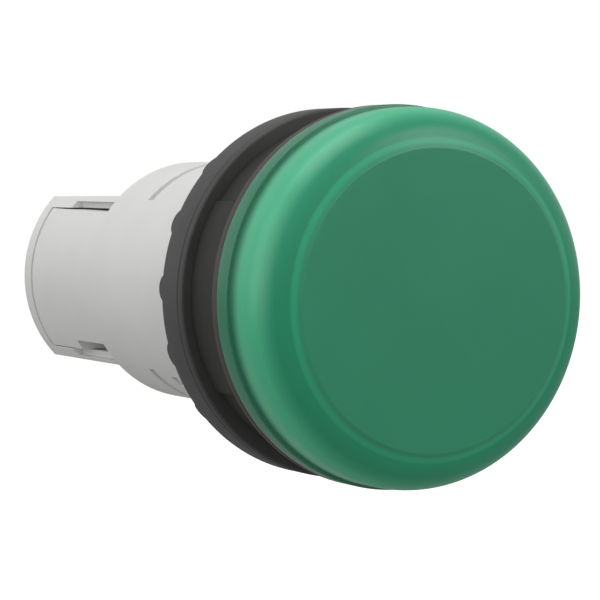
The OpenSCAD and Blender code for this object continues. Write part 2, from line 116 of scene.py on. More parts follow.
class PilotLightSizes(bpy.types.PropertyGroup):
    """Sizes of the turned and repeated pieces"""

    lens_radius: length("Lens Radius", "Radius of the lens at its base band", LENS_HIGH[0])
    lens_front: length("Lens Front", "Height of the lens face above the panel", -LENS_LOW[1])
    lens_base: length("Lens Base", "Height of the lens base above the panel", -SEAL_LOW[1])
    neck_end: length("Neck End", "Height of the end of the lens neck above the panel", -LENS_HIGH[1])
    neck_radius: length("Neck Radius", "Radius of the lens neck", 12.4 * MM)
    neck_wall: length("Neck Wall", "Wall of the lens neck", 1.2 * MM)
    lens_wall: length("Lens Wall", "Wall of the lens", 1.7 * MM)
    band_height: length("Band Height", "Height of the base band", 1.7 * MM)
    band_step: length("Band Step", "Step in from the base band to the side", 0.25 * MM)
    edge_radius: length("Edge Radius", "Radius of the rounded front edge", 3.1 * MM)
    # The solid has 11.7 mm here
    face_radius: length("Face Radius", "Radius at the foot of the bevel round the flat face", 12.3 * MM)
    face_step: length("Face Step", "Height of the step that carries the flat face", 0.35 * MM)
    face_bevel: length("Face Bevel", "Width of the bevel round the flat face", 0.7 * MM)
    nut_thickness: length("Nut Thickness", "Thickness of the ring nut's flange", 2.7 * MM)
    nut_bore: length("Nut Bore", "Radius of the ring nut's bore", 10.63 * MM)
    hub_width: length("Hub Width", "Radial width of the hub round the bore", 0.9 * MM)
    hub_height: length("Hub Height", "How far the hub stands out of the nut's rear face", 0.6 * MM)
    nub_count: IntProperty(name="Nubs", description="Grip nubs on the ring nut", default=17, min=3)
    nub_phase: FloatProperty(
        name="Nub Phase", description="Angle of the first nub round the axis",
        default=math.radians(-177.7), subtype="ANGLE",
    )
    nub_inner: length("Nub Inner Radius", "Radius at the inner end of a nub", 12.2 * MM)
    nub_width: length("Nub Width", "Width of a half-round nub", 2.2 * MM)
    # The solid has 2.3 mm here
    nub_length: length("Nub Length", "Radial length of a nub", 2.35 * MM)
    plate_height: length("Plate Height", "Height of the cover's plates above the axis", 6.4 * MM)
    cad_seam: length("Moulding Gap", "Gap that the mouldings leave between barrel and plates", 0.25 * MM)
    seam: length("Seam", "Gap that shows between barrel and plates", 0.08 * MM)
    seam_softness: length("Seam Softness", "Rounding of the edges of barrel and cover", 0.06 * MM)
    neck_thread_pitch: length("Neck Thread Pitch", "Pitch of the thread on the lens neck", 0.9 * MM)
    neck_thread_depth: length("Neck Thread Depth", "Depth of the thread on the lens neck", 0.3 * MM)
    screw_radius: length("Screw Radius", "Radius over the terminal screw's thread", 1.5 * MM)
    head_height: length("Head Height", "Height of the terminal screw's head", 1.9 * MM)
    thread_pitch: length("Thread Pitch", "Pitch of the terminal screw's thread", 0.5 * MM)
    thread_depth: length("Thread Depth", "Depth of the terminal screw's thread", 0.28 * MM)
    edge_softness: length("Edge Softness", "Rounding of the moulded edges", 0.12 * MM)


class PilotLightColours(bpy.types.PropertyGroup):
    """Colours of the moulded pieces"""

    lens: colour("Lens", "Green of the lens face, over the diffuser", "#2d9f77")
    # Painted glow: the thin side wall is drawn brighter, standing in for light that comes through it
    lens_painted_glow: colour("Lens Side", "Green of the thin side wall, where light comes through", "#48c594")
    # Painted shade: the thick rounded edge is drawn deeper than the wall
    lens_painted_shade: colour("Lens Edge", "Green of the thick rounded edge", "#12a076")
    # Painted highlight on the bevel round the face
    lens_painted_highlight: colour("Lens Rim", "Green of the bevel round the face", "#28b686")
    # The base band's green, also laid a little way up the wall as painted shade under the groove
    lens_band_and_shade: colour("Lens Band", "Green of the base band", "#268362")
    barrel: colour("Barrel", "Light grey of barrel and cover", "#dddddb")
    collar: colour("Collar", "Black of the collar", "#31312f")
    gasket: colour("Gasket", "Black of the gasket", "#403f3e")
    nut: colour("Ring Nut", "Dark grey of the ring nut", "#484849")
    seal: colour("Seal", "Brown-grey of the lens seal", "#443c3c")


# ---- geometry node trees ----


def start_tree(name, sockets):
    """A geometry tree with the given named inputs, and the sockets that feed it."""
    tree = bpy.data.node_groups.new(name, "GeometryNodeTree")
    tree.interface.new_socket("Geometry", in_out="INPUT", socket_type="NodeSocketGeometry")
    for label, kind in sockets:
        tree.interface.new_socket(label, in_out="INPUT", socket_type=f"NodeSocket{kind}")
    tree.interface.new_socket("Geometry", in_out="OUTPUT", socket_type="NodeSocketGeometry")
    return tree, tree.nodes.new("NodeGroupInput").outputs


def end_tree(tree, geometry, material):
    """Ends a tree in real geometry that carries its material."""
    real = add_node(tree, "GeometryNodeRealizeInstances", {"Geometry": geometry})
    finish = add_node(tree, "GeometryNodeSetMaterial", {
        "Geometry": real.outputs[0], "Material": material,
    })
    out = tree.nodes.new("NodeGroupOutput")
    tree.links.new(finish.outputs[0], out.inputs[0])
    return tree


def lathe_tree():
    """Turns an outline of radius and Y, drawn in the XY plane, round the Y axis."""
    tree, given = start_tree("Lathe", [
        ("Path Radius", "Float"), ("Segments", "Int"), ("Weld", "Float"), ("Material", "Material"),
    ])
    outline = add_node(tree, "GeometryNodeMeshToCurve", {"Mesh": given["Geometry"]})
    inward = add_node(
        tree, "ShaderNodeMath", {0: given["Path Radius"], 1: -1.0}, operation="MULTIPLY",
    )
    shift = add_node(tree, "ShaderNodeCombineXYZ", {"X": inward.outputs[0]})
    moved = add_node(tree, "GeometryNodeTransform", {
        "Geometry": outline.outputs[0], "Translation": shift.outputs[0],
    })
    path = add_node(tree, "GeometryNodeCurvePrimitiveCircle", {
        "Resolution": given["Segments"], "Radius": given["Path Radius"],
    })
    swept = add_node(tree, "GeometryNodeCurveToMesh", {
        "Curve": path.outputs[0], "Profile Curve": moved.outputs[0],
    })
    upright = add_node(tree, "GeometryNodeTransform", {
        "Geometry": swept.outputs[0], "Rotation": (math.pi / 2, 0, 0),
    })
    welded = add_node(tree, "GeometryNodeMergeByDistance", {
        "Geometry": upright.outputs[0], "Distance": given["Weld"],
    })
    return end_tree(tree, welded.outputs[0], given["Material"])


def ring_tree():
    """Repeats the given shape round the Y axis."""
    tree, given = start_tree("Ring of Copies", [
        ("Count", "Int"), ("First Angle", "Float"), ("Material", "Material"),
    ])
    places = add_node(tree, "GeometryNodeMeshLine", {
        "Count": given["Count"], "Offset": (0.0, 0.0, 0.0),
    })
    index = add_node(tree, "GeometryNodeInputIndex")
    share = add_node(
        tree, "ShaderNodeMath", {0: index.outputs[0], 1: given["Count"]}, operation="DIVIDE",
    )
    turn = add_node(tree, "ShaderNodeMath", {0: share.outputs[0], 1: math.tau}, operation="MULTIPLY")
    angle = add_node(
        tree, "ShaderNodeMath", {0: turn.outputs[0], 1: given["First Angle"]}, operation="ADD",
    )
    rotation = add_node(tree, "ShaderNodeCombineXYZ", {"Y": angle.outputs[0]})
    copies = add_node(tree, "GeometryNodeInstanceOnPoints", {
        "Points": places.outputs[0], "Instance": given["Geometry"], "Rotation": rotation.outputs[0],
    })
    return end_tree(tree, copies.outputs[0], given["Material"])


def helix_tree():
    """Sweeps the given outline along a helix round the Y axis, with so many steps a turn."""
    tree, given = start_tree("Helix", [
        ("Radius", "Float"), ("Turns", "Float"), ("Rise", "Float"), ("Steps", "Int"),
        ("Material", "Material"),
    ])
    outline = add_node(tree, "GeometryNodeMeshToCurve", {"Mesh": given["Geometry"]})
    path = add_node(tree, "GeometryNodeCurveSpiral", {
        "Resolution": given["Steps"], "Rotations": given["Turns"], "Start Radius": given["Radius"],
        "End Radius": given["Radius"], "Height": given["Rise"],
    })
    level = add_node(tree, "GeometryNodeSetCurveNormal", {"Curve": path.outputs[0]}, mode="Z_UP")
    swept = add_node(tree, "GeometryNodeCurveToMesh", {
        "Curve": level.outputs[0], "Profile Curve": outline.outputs[0], "Fill Caps": True,
    })
    upright = add_node(tree, "GeometryNodeTransform", {
        "Geometry": swept.outputs[0], "Rotation": (-math.pi / 2, 0, 0),
    })
    return end_tree(tree, upright.outputs[0], given["Material"])


def grow(tree, mesh, name, values):
    """Runs a tree on a mesh and keeps the result as a plain mesh object."""
    holder = bpy.data.objects.new(name, mesh)
    bpy.context.scene.collection.objects.link(holder)
    modifier = holder.modifiers.new("Grow", "NODES")
    modifier.node_group = tree
    for item in tree.interface.items_tree:
        if item.in_out == "INPUT" and item.name in values:
            modifier[item.identifier] = values[item.name]
    graph = bpy.context.evaluated_depsgraph_get()
    plain = bpy.data.meshes.new_from_object(holder.evaluated_get(graph))
    holder.modifiers.clear()
    holder.data = plain
    return holder


# ---- meshes ----


def outline_mesh(points, closed):
    """A chain of edges through the points, in the XY plane."""
    count = len(points)
    edges = [(i, (i + 1) % count) for i in range(count if closed else count - 1)]
    mesh = bpy.data.meshes.new("outline")
    mesh.from_pydata([(x, y, 0) for x, y in points], edges, [])
    return mesh


def arc(x, y, radius, start, end, steps=8):
    """Points on an arc, with its angles in degrees from +X towards +Y."""
    angles = [math.radians(start + (end - start) * i / steps) for i in range(steps + 1)]
    return [(x + radius * math.cos(a), y + radius * math.sin(a)) for a in angles]


def nub_mesh(inner, outer, middle, radius, soft):
    """A round bar along X with softened ends, sunk to its middle in a face at the given Y."""
    sides = 24
    angles = [math.tau * i / sides for i in range(sides)]
    stations = [
        (inner, radius - soft), (inner + soft, radius), (outer - soft, radius), (outer, radius - soft),
    ]
    shape = bmesh.new()
    rings = []
    for x, reach in stations:
        places = [(x, middle + reach * math.cos(a), reach * math.sin(a)) for a in angles]
        rings.append([shape.verts.new(spot) for spot in places])
    for first, second in zip(rings, rings[1:]):
        for i in range(sides):
            j = (i + 1) % sides
            shape.faces.new((first[i], first[j], second[j], second[i]))
    shape.faces.new(rings[0])
    shape.faces.new(rings[-1][::-1])
    bmesh.ops.recalc_face_normals(shape, faces=shape.faces)
    mesh = bpy.data.meshes.new("nub")
    shape.to_mesh(mesh)
    shape.free()
    return mesh


def tidy_normals(mesh):
    """Points the faces of closed shells outwards."""
    shape = bmesh.new()
    shape.from_mesh(mesh)
    bmesh.ops.recalc_face_normals(shape, faces=shape.faces)
    shape.to_mesh(mesh)
    shape.free()


def shade(piece, sharp_degrees=40):
    """Smooth shading with sharp edges kept."""
    piece.data.shade_smooth()
    piece.data.set_sharp_from_angle(angle=math.radians(sharp_degrees))


def set_material(piece, material):
    """Gives a whole piece one material."""
    piece.data.materials.clear()
    piece.data.materials.append(material)


def turned(points, name, material, closed=True):
    """A piece turned from an outline of (radius, height above the panel)."""
    outline = outline_mesh([(radius, -height) for radius, height in points], closed)
    path_radius = max(radius for radius, height in points)
    piece = grow(lathe_tree(), outline, name, {
        "Path Radius": path_radius, "Segments": TURN_SEGMENTS, "Weld": WELD, "Material": material,
    })
    tidy_normals(piece.data)
    shade(piece)
    return piece


def softened(node, name, material, width, sharp_degrees=30, reshape=None):
    """A copy of a rigid CAD piece, reshaped if asked, whose moulded edges are rounded over."""
    flat_degrees = 0.05
    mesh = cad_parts[node].data.copy()
    shape = bmesh.new()
    shape.from_mesh(mesh)
    bmesh.ops.remove_doubles(shape, verts=shape.verts, dist=WELD)
    if reshape:
        for corner in shape.verts:
            corner.co = reshape(corner.co)
    bmesh.ops.dissolve_limit(
        shape, angle_limit=math.radians(flat_degrees), verts=shape.verts, edges=shape.edges,
        delimit=set(),
    )
    shape.to_mesh(mesh)
    shape.free()
    mesh.shade_smooth()
    piece = bpy.data.objects.new(name, mesh)
    bpy.context.scene.collection.objects.link(piece)
    bevel = piece.modifiers.new("Rounding", "BEVEL")
    bevel.width = width
    bevel.segments = 2
    bevel.limit_method = "ANGLE"
    bevel.angle_limit = math.radians(sharp_degrees)
    bevel.use_clamp_overlap = True
    even = piece.modifiers.new("Even Shading", "WEIGHTED_NORMAL")
    even.weight = 100
    graph = bpy.context.evaluated_depsgraph_get()
    plain = bpy.data.meshes.new_from_object(piece.evaluated_get(graph))
    piece.modifiers.clear()
    piece.data = plain
    set_material(piece, material)
    return piece


def joined(pieces, name):
    """One piece made of several."""
    shape = bmesh.new()
    for piece in pieces:
        shape.from_mesh(piece.data)
    mesh = bpy.data.meshes.new(name)
    shape.to_mesh(mesh)
    shape.free()
    for material in pieces[0].data.materials:
        mesh.materials.append(material)
    for piece in pieces:
        bpy.data.objects.remove(piece)
    whole = bpy.data.objects.new(name, mesh)
    bpy.context.scene.collection.objects.link(whole)
    shade(whole)
    return whole


def wound_ridge(core, depth, pitch, run, name, material):
    """A thread ridge of the given depth on a core, wound along Y from zero over a run."""
    half, crest, sunk = 0.42 * pitch, 0.05 * pitch, 0.05 * MM
    turns = run / pitch
    outline = outline_mesh(
        [(-sunk, -half), (depth, -crest), (depth, crest), (-sunk, half)], closed=True,
    )
    ridge = grow(helix_tree(), outline, name, {
        "Radius": core, "Turns": turns, "Rise": run, "Steps": round(48 * turns), "Material": material,
    })
    tidy_normals(ridge.data)
    return ridge


def threaded_screw(size, side, material):
    """A terminal screw with its shank turned down to the core, and a thread ridge wound on it."""
    node = "terminal_screw_" + side
    low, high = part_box(node)
    middle = (low[0] + high[0]) / 2
    head_front = high[1] - size.head_height
    core = size.screw_radius - size.thread_depth

    def turn_down(corner):
        """Brings the shank's wall in to the thread's core."""
        reach = math.hypot(corner.x - middle, corner.z)
        if corner.y > head_front + NEAR or reach > size.screw_radius + NEAR:
            return corner
        shrink = core / size.screw_radius
        return Vector((middle + (corner.x - middle) * shrink, corner.y, corner.z * shrink))

    body = softened(node, node + "_body", material, size.edge_softness / 2, reshape=turn_down)
    pitch = size.thread_pitch
    thread = wound_ridge(
        core, size.thread_depth, pitch, head_front - low[1] - 2 * pitch, node + "_thread", material,
    )
    thread.data.transform(Matrix.Translation((middle, low[1] + pitch, 0)))
    return joined([body, thread], node + "_whole")


def place(piece, body, slot, *nodes):
    """Hands a finished piece to its body, and hides the CAD pieces that it stands for."""
    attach(piece, body)
    if nodes:
        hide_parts(*nodes)


# ---- materials ----


def start_material(name):
    """An empty material with object coordinates, its surface shader and its tree."""
    material = bpy.data.materials.new(name)
    material.use_nodes = True
    tree = material.node_tree
    tree.nodes.clear()
    out = add_node(tree, "ShaderNodeOutputMaterial")
    surface = add_node(tree, "ShaderNodeBsdfPrincipled")
    tree.links.new(surface.outputs[0], out.inputs["Surface"])
    place_on = add_node(tree, "ShaderNodeTexCoord").outputs["Object"]
    return material, tree, surface, place_on


def mottled(tree, place_on, base, amount, size):
    """A colour, or a socket that carries one, that drifts in brightness over patches of a size."""
    drift = drifting(tree, place_on, 1 - amount, 1 + amount, size)
    return add_node(
        tree, "ShaderNodeVectorMath", {0: base, "Scale": drift}, operation="SCALE",
    ).outputs["Vector"]


def drifting(tree, place_on, low, high, size):
    """A value that drifts between two levels over patches of the given size."""
    noise = add_node(tree, "ShaderNodeTexNoise", {
        "Vector": place_on, "Scale": 1 / size, "Detail": 3.0,
    })
    spread = add_node(tree, "ShaderNodeMapRange", {
        "Value": noise.outputs["Fac"], "From Min": 0.3, "From Max": 0.7,
        "To Min": low, "To Max": high,
    })
    return spread.outputs["Result"]


def grained(tree, place_on, size, depth, below=None):
    """A bump of irregular grain, drawn coarser than the real one, which would be too fine to show."""
    grain = add_node(tree, "ShaderNodeTexNoise", {
        "Vector": place_on, "Scale": 1 / size, "Detail": 2.0, "Roughness": 0.6,
    })
    inputs = {"Height": grain.outputs["Fac"], "Distance": depth, "Strength": 1.0}
    if below:
        inputs["Normal"] = below
    return add_node(tree, "ShaderNodeBump", inputs).outputs["Normal"]


def moulded_plastic(
    name, base, roughness, grain_size, grain_depth, variation=0.04, ior=1.53, sheen=0.5,
):
    """Injection-moulded plastic: an even colour, a dull sheen and the mould's fine grain."""
    material, tree, surface, place_on = start_material(name)
    tint = mottled(tree, place_on, base, amount=variation, size=6 * MM)
    tree.links.new(tint, surface.inputs["Base Color"])
    rough = drifting(tree, place_on, low=roughness - 0.05, high=roughness + 0.05, size=2.5 * MM)
    tree.links.new(rough, surface.inputs["Roughness"])
    tree.links.new(grained(tree, place_on, grain_size, grain_depth), surface.inputs["Normal"])
    surface.inputs["IOR"].default_value = ior
    surface.inputs["Specular IOR Level"].default_value = sheen
    return material


def metal(name, base, roughness, scratch_size):
    """Drawn or plated metal: a clear tint, with fine lines left along it by rolling and turning."""
    material, tree, surface, place_on = start_material(name)
    tint = mottled(tree, place_on, base, amount=0.08, size=1.5 * MM)
    tree.links.new(tint, surface.inputs["Base Color"])
    stretched = add_node(tree, "ShaderNodeMapping", {"Vector": place_on, "Scale": (1.0, 0.15, 1.0)})
    along = stretched.outputs[0]
    rough = drifting(tree, along, low=roughness - 0.08, high=roughness + 0.08, size=scratch_size)
    tree.links.new(rough, surface.inputs["Roughness"])
    lines = grained(tree, along, scratch_size, depth=0.01 * MM)
    tree.links.new(lines, surface.inputs["Normal"])
    surface.inputs["Metallic"].default_value = 1.0
    return material


def lens_painted_light(tree, place_on, size, colours):
    """The lens's green by height, with light and shade painted in: a painted glow on the thin side wall,
    painted shade on the thick rounded edge, a painted highlight on the bevel round the face, and painted
    shade at the foot of the wall above the base band.
    """
    height = add_node(tree, "ShaderNodeSeparateXYZ", {"Vector": place_on}).outputs["Y"]
    base, front = size.lens_base, size.lens_front
    share = add_node(tree, "ShaderNodeMapRange", {
        "Value": height, "From Min": -base, "From Max": -front, "To Min": 0.0, "To Max": 1.0,
    })
    depth = add_node(tree, "ShaderNodeValToRGB", {"Fac": share.outputs["Result"]})
    ramp = depth.color_ramp
    band_top = base + size.band_height
    shoulder = front - size.face_step
    round_start = shoulder - size.edge_radius
    # The base band's green runs on up the foot of the wall as painted shade under the groove
    band_shade_until, glow_from = band_top + 0.5 * MM, band_top + 1.4 * MM
    glow_until = round_start + 0.45 * size.edge_radius
    shade_from, shade_until = round_start + 0.8 * size.edge_radius, shoulder - 0.12 * MM
    highlight_from, highlight_until = shoulder - 0.06 * MM, front - 0.26 * MM
    face_from = front - 0.12 * MM
    # Stops: painted glow on the side wall, painted shade on the rounded edge, painted highlight on the
    # bevel round the face
    stops = [
        (band_shade_until, colours.lens_band_and_shade),
        (glow_from, colours.lens_painted_glow), (glow_until, colours.lens_painted_glow),
        (shade_from, colours.lens_painted_shade), (shade_until, colours.lens_painted_shade),
        (highlight_from, colours.lens_painted_highlight), (highlight_until, colours.lens_painted_highlight),
        (face_from, colours.lens),
    ]
    while len(ramp.elements) < len(stops):
        ramp.elements.new(0.5)
    for element, (level, green) in zip(ramp.elements, stops):
        element.position = (level - base) / (front - base)
        element.color = (*green, 1)
    return depth.outputs["Color"]


def tinted_polycarbonate(size, colours):
    """Tinted polycarbonate, satin moulded: light enters it, so that it glows a little, and its green
    also carries painted light and shade by height.
    """
    material, tree, surface, place_on = start_material("Tinted polycarbonate, satin moulded")
    # The green, with a painted glow, painted shade and a painted highlight laid in by height
    base = lens_painted_light(tree, place_on, size, colours)
    tint = mottled(tree, place_on, base, amount=0.03, size=9 * MM)
    tree.links.new(tint, surface.inputs["Base Color"])
    rough = drifting(tree, place_on, low=0.3, high=0.38, size=4 * MM)
    tree.links.new(rough, surface.inputs["Roughness"])
    grain = grained(tree, place_on, size=0.25 * MM, depth=0.002 * MM)
    tree.links.new(grain, surface.inputs["Normal"])
    surface.inputs["IOR"].default_value = 1.585
    surface.inputs["Transmission Weight"].default_value = 0.15
    surface.inputs["Subsurface Weight"].default_value = 0.35
    surface.inputs["Subsurface Radius"].default_value = (0.3, 1.0, 0.6)
    surface.inputs["Subsurface Scale"].default_value = 1.2 * MM
    return material


def rubber(name, base, roughness):
    """Moulded elastomer: dull and soft-edged, with a bloom that lightens it in patches."""
    material, tree, surface, place_on = start_material(name)
    tint = mottled(tree, place_on, base, amount=0.12, size=2 * MM)
    tree.links.new(tint, surface.inputs["Base Color"])
    rough = drifting(tree, place_on, low=roughness - 0.06, high=roughness + 0.06, size=1 * MM)
    tree.links.new(rough, surface.inputs["Roughness"])
    grain = grained(tree, place_on, size=0.3 * MM, depth=0.01 * MM)
    tree.links.new(grain, surface.inputs["Normal"])
    surface.inputs["IOR"].default_value = 1.52
    return material


def diffused_resin():
    """Clear-diffused resin of a lamp dome: milky, smooth and a little see-through."""
    material, tree, surface, place_on = start_material("Clear-diffused resin")
    tint = mottled(tree, place_on, hex_colour("#eef0ea"), amount=0.03, size=3 * MM)
    tree.links.new(tint, surface.inputs["Base Color"])
    rough = drifting(tree, place_on, low=0.12, high=0.22, size=2 * MM)
    tree.links.new(rough, surface.inputs["Roughness"])
    grain = grained(tree, place_on, size=0.5 * MM, depth=0.004 * MM)
    tree.links.new(grain, surface.inputs["Normal"])
    surface.inputs["IOR"].default_value = 1.5
    surface.inputs["Transmission Weight"].default_value = 0.4
    surface.inputs["Subsurface Weight"].default_value = 0.3
    surface.inputs["Subsurface Radius"].default_value = (1.0, 1.0, 1.0)
    surface.inputs["Subsurface Scale"].default_value = 2 * MM
    return material


def laminate():
    """Phenolic laminate: brown, with the fibres of its paper showing as short streaks."""
    material, tree, surface, place_on = start_material("Phenolic laminate, punched")
    stretched = add_node(tree, "ShaderNodeMapping", {"Vector": place_on, "Scale": (1.0, 1.0, 5.0)})
    fibres = stretched.outputs[0]
    tint = mottled(tree, fibres, hex_colour("#6b4526"), amount=0.2, size=0.8 * MM)
    tree.links.new(tint, surface.inputs["Base Color"])
    rough = drifting(tree, place_on, low=0.35, high=0.5, size=1 * MM)
    tree.links.new(rough, surface.inputs["Roughness"])
    grain = grained(tree, fibres, size=0.2 * MM, depth=0.008 * MM)
    tree.links.new(grain, surface.inputs["Normal"])
    return material


# ---- stage ----


def add_floor(scene):
    """A wide pale floor below the hanging light."""
    floor_height = -60 * MM
    reach = 4.0
    dull, pale, paper_glow = 0.36, 0.85, 0.55
    mesh = bpy.data.meshes.new("floor")
    corners = [(-reach, -reach), (reach, -reach), (reach, reach), (-reach, reach)]
    mesh.from_pydata([(x, y, floor_height) for x, y in corners], [], [(0, 1, 2, 3)])
    floor = bpy.data.objects.new("floor", mesh)
    scene.collection.objects.link(floor)
    material = bpy.data.materials.new("Pale paper backdrop")
    material.use_nodes = True
    tree = material.node_tree
    tree.nodes.clear()
    path = add_node(tree, "ShaderNodeLightPath")
    seen = add_node(tree, "ShaderNodeMath", {
        0: path.outputs["Is Camera Ray"], 1: path.outputs["Is Transmission Ray"],
    }, operation="MAXIMUM")
    # White where it is seen or seen through; lit and reflected, it counts as a duller sheet
    tone = add_node(tree, "ShaderNodeMapRange", {
        "Value": seen.outputs[0], "To Min": dull, "To Max": pale,
    })
    glow = add_node(
        tree, "ShaderNodeMath", {0: seen.outputs[0], 1: paper_glow}, operation="MULTIPLY",
    )
    paper = add_node(tree, "ShaderNodeBsdfDiffuse", {"Color": tone.outputs["Result"]})
    white = add_node(tree, "ShaderNodeEmission", {
        "Color": (1, 1, 1, 1), "Strength": glow.outputs[0],
    })
    both = add_node(tree, "ShaderNodeAddShader", {0: paper.outputs[0], 1: white.outputs[0]})
    add_node(tree, "ShaderNodeOutputMaterial", {"Surface": both.outputs[0]})
    mesh.materials.append(material)


def add_world(scene):
    """White where it is seen or seen through, and a plain grey surround for light and reflections."""
    surround, background = 0.55, 1.0
    world = bpy.data.worlds.new("studio")
    world.use_nodes = True
    tree = world.node_tree
    tree.nodes.clear()
    path = add_node(tree, "ShaderNodeLightPath")
    seen = add_node(tree, "ShaderNodeMath", {
        0: path.outputs["Is Camera Ray"], 1: path.outputs["Is Transmission Ray"],
    }, operation="MAXIMUM")
    strength = add_node(tree, "ShaderNodeMapRange", {
        "Value": seen.outputs[0], "To Min": surround, "To Max": background,
    })
    back = add_node(tree, "ShaderNodeBackground", {
        "Color": (1, 1, 1, 1), "Strength": strength.outputs["Result"],
    })
    add_node(tree, "ShaderNodeOutputWorld", {"Surface": back.outputs[0]})
    scene.world = world


def add_lights(scene):
    """Large soft boxes: a key above, one at the left side, and a fill from the front right."""
    boxes = [
        ("key_softbox", (-0.12, 0.0, 0.5), 0.4, 0.95),
        ("side_softbox", (-0.5, 0.02, 0.1), 0.6, 1.0),
        ("fill_softbox", (0.36, -0.46, 0.36), 0.4, 1.0),
    ]
    for name, spot, width, power in boxes:
        light = bpy.data.lights.new(name, "AREA")
        light.shape = "SQUARE"
        light.size = width
        light.energy = power
        holder = bpy.data.objects.new(name, light)
        holder.location = spot
        holder.rotation_euler = (-Vector(spot)).to_track_quat("-Z", "Y").to_euler()
        scene.collection.objects.link(holder)


def add_camera(scene):
    """A long lens from the front left, a little above the axis."""
    tilt_down, turn_right = 2.96, 28.24
    data = bpy.data.cameras.new("camera")
    data.lens = 150
    data.clip_start = 0.01
    camera = bpy.data.objects.new("camera", data)
    camera.location = Vector((-97.86, -174.85, 9.78)) * MM
    camera.rotation_euler = (math.radians(90 - tilt_down), 0, math.radians(-turn_right))
    scene.collection.objects.link(camera)
    scene.camera = camera


# ---- operators: one for each piece or group of like pieces ----


class LensOperator(bpy.types.Operator):
    """Turns the lens with its neck, winds the neck's thread, and rounds the diffuser"""

    bl_idname = "pilot_light.lens"
    bl_label = "Lens"

    def execute(self, context):
        size = context.scene.pilot_light_sizes
        colours = context.scene.pilot_light_colours
        soft = size.edge_softness
        side = size.lens_radius - size.band_step
        round_x = side - size.edge_radius
        shoulder = size.lens_front - size.face_step
        edge = shoulder - size.edge_radius
        band_top = size.lens_base + size.band_height
        inner_round = size.edge_radius - size.lens_wall
        core = size.neck_radius - size.neck_thread_depth
        inner_neck = size.neck_radius - size.neck_wall
        ceiling = shoulder - size.lens_wall
        inner_face = size.face_radius - size.face_bevel
        foot_angle = math.degrees(math.acos((size.face_radius - round_x) / size.edge_radius))
        foot = edge + size.edge_radius * math.sin(math.radians(foot_angle))
        bevel_slope = math.degrees(math.atan2(size.lens_front - foot, size.face_bevel))
        rim_soft = 2 * soft
        points = [(0, size.lens_front)]
        points += arc(
            inner_face - soft, size.lens_front - rim_soft, rim_soft, 90, 90 - bevel_slope, CORNER_STEPS,
        )
        points += arc(round_x, edge, size.edge_radius, foot_angle, 0, steps=28)
        points += [(side, band_top + 0.5 * soft)]
        points += arc(size.lens_radius - soft, band_top - soft, soft, 90, 0, CORNER_STEPS)
        points += arc(size.lens_radius - soft, size.lens_base + soft, soft, 0, -90, CORNER_STEPS)
        points += [(core, size.lens_base), (core, size.neck_end)]
        points += [(inner_neck, size.neck_end), (inner_neck, size.lens_base + size.lens_wall)]
        points += [(side - size.lens_wall, size.lens_base + size.lens_wall)]
        points += arc(round_x, edge, inner_round, 0, 90, steps=10)
        points += [(0, ceiling)]
        green = tinted_polycarbonate(size, colours)
        shell = turned(points, "lens_shell", green, closed=False)
        pitch = size.neck_thread_pitch
        plain_end = 0.6 * pitch
        run = size.lens_base - size.neck_end - 2 * plain_end
        thread = wound_ridge(core, size.neck_thread_depth, pitch, run, "lens_thread", green)
        thread.data.transform(Matrix.Translation((0, -size.neck_end - plain_end - run, 0)))
        place(joined([shell, thread], "lens_whole"), "lens", "lens_green", "lens")
        # Opal acrylic from a polished mould: milky white, with a smooth low gloss
        opal = moulded_plastic(
            "Opal acrylic, moulded", hex_colour("#e9ebe6"), roughness=0.4, grain_size=0.3 * MM,
            grain_depth=0.003 * MM, variation=0.02, ior=1.49,
        )
        diffuser = softened("diffuser", "diffuser_disc", opal, soft)
        place(diffuser, "lens", "opal_plastic", "diffuser")
        return {"FINISHED"}


class SealsOperator(bpy.types.Operator):
    """Turns the lens seal and the panel gasket with soft rubber edges"""

    bl_idname = "pilot_light.seals"
    bl_label = "Seals"

    def execute(self, context):
        size = context.scene.pilot_light_sizes
        colours = context.scene.pilot_light_colours
        seal = rubber("Silicone rubber, moulded", list(colours.seal), roughness=0.6)
        gasket = rubber("Nitrile rubber, moulded", list(colours.gasket), roughness=0.62)
        clearance = 0.1 * MM
        rings = [
            ("lens_seal_ring", seal, "seal_silicone", "lens_seal", SEAL_HIGH, SEAL_LOW,
             size.neck_radius + clearance),
            ("panel_gasket_ring", gasket, "gasket_rubber", "panel_gasket", GASKET_HIGH, GASKET_LOW,
             BARREL_RADIUS + clearance),
        ]
        for name, material, slot, node, high, low, inner in rings:
            rear, front, outer = -high[1], -low[1], high[0]
            soft = 0.3 * (front - rear)
            points = arc(outer - soft, front - soft, soft, 90, 0, steps=5)
            points += arc(outer - soft, rear + soft, soft, 0, -90, steps=5)
            points += [(inner, rear), (inner, front)]
            place(turned(points, name, material), "housing", slot, node)
        return {"FINISHED"}


class CollarOperator(bpy.types.Operator):
    """Rounds the collar's edges and gives it its black polyamide"""

    bl_idname = "pilot_light.collar"
    bl_label = "Collar"

    def execute(self, context):
        size = context.scene.pilot_light_sizes
        colours = context.scene.pilot_light_colours
        # Glass-filled polyamide comes out of the mould black and dull, with a very fine grain
        material = moulded_plastic(
            "Black polyamide, moulded", list(colours.collar), roughness=0.55, grain_size=0.12 * MM,
            grain_depth=0.006 * MM, variation=0.06, sheen=0.25,
        )
        collar = softened("collar", "collar_ring", material, size.edge_softness)
        place(collar, "housing", "black_plastic", "collar")
        return {"FINISHED"}


